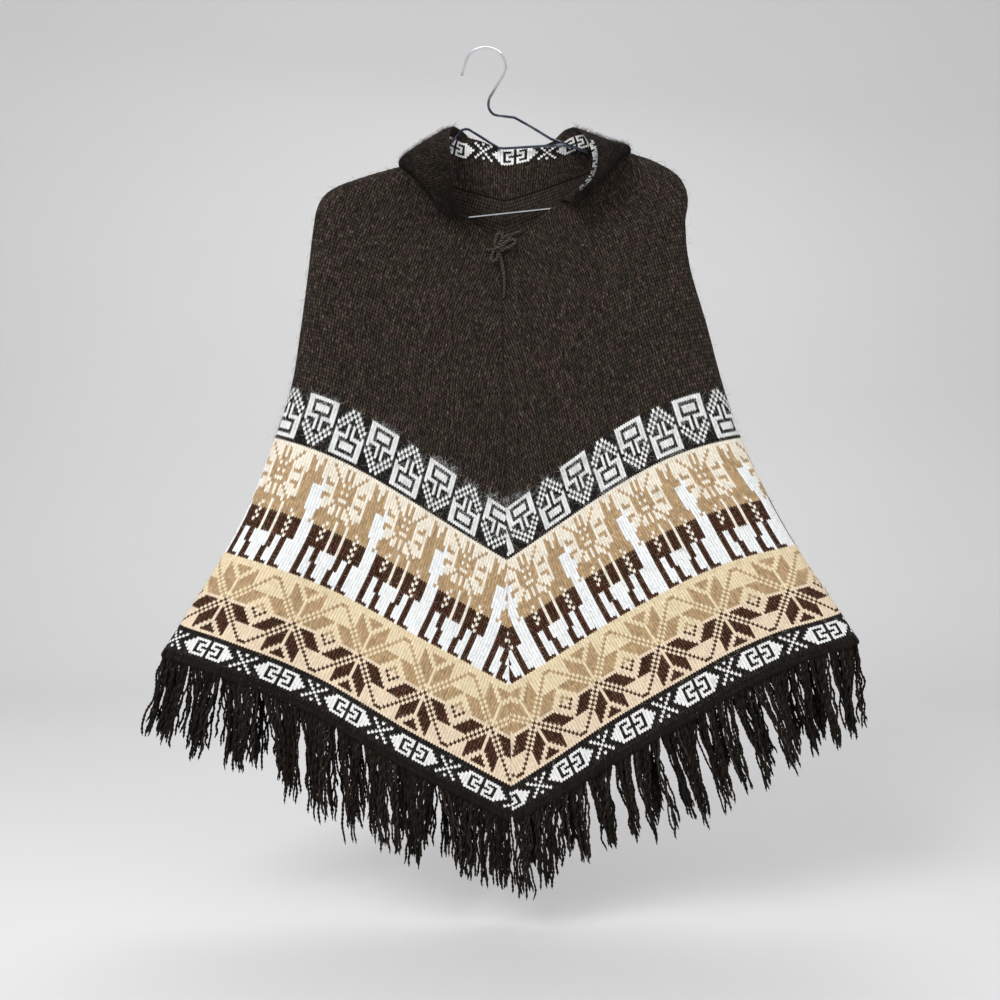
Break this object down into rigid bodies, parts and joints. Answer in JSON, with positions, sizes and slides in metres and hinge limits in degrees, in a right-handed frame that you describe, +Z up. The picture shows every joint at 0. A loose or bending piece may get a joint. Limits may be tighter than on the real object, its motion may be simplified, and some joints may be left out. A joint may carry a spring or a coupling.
{
  "type": "andean poncho on a wire hanger",
  "caption": "Knitted V-hem poncho with a stand-up collar, llama and star bands and a long yarn fringe, hanging on a bent wire hanger.",
  "frame": {"origin": "underside of the crown of the hanger's hook, where a rail or line holds it", "axes": "+Z up, -Y out of the front of the poncho, +X to the right of someone who faces the front"},
  "size_m": [0.8392, 0.0838, 0.9929],
  "materials": {
    "patterned_knit": "matt wool stocking stitch, dark brown yoke over banded colourwork",
    "collar_knit": "matt wool knit, slightly hairy",
    "fringe_yarn": "loose twisted wool yarn, near black",
    "tie_cord": "twisted wool cord",
    "plated_wire": "bright zinc plate"
  },
  "bodies": {
    "root": {"panel_left": "patterned_knit", "panel_right": "patterned_knit", "collar": "collar_knit", "neck_tie": "tie_cord", "hanger_wire": "plated_wire", "fringe_front_left": "fringe_yarn", "fringe_front_right": "fringe_yarn", "fringe_back_left": "fringe_yarn", "fringe_back_right": "fringe_yarn"}
  },
  "joints": []
}
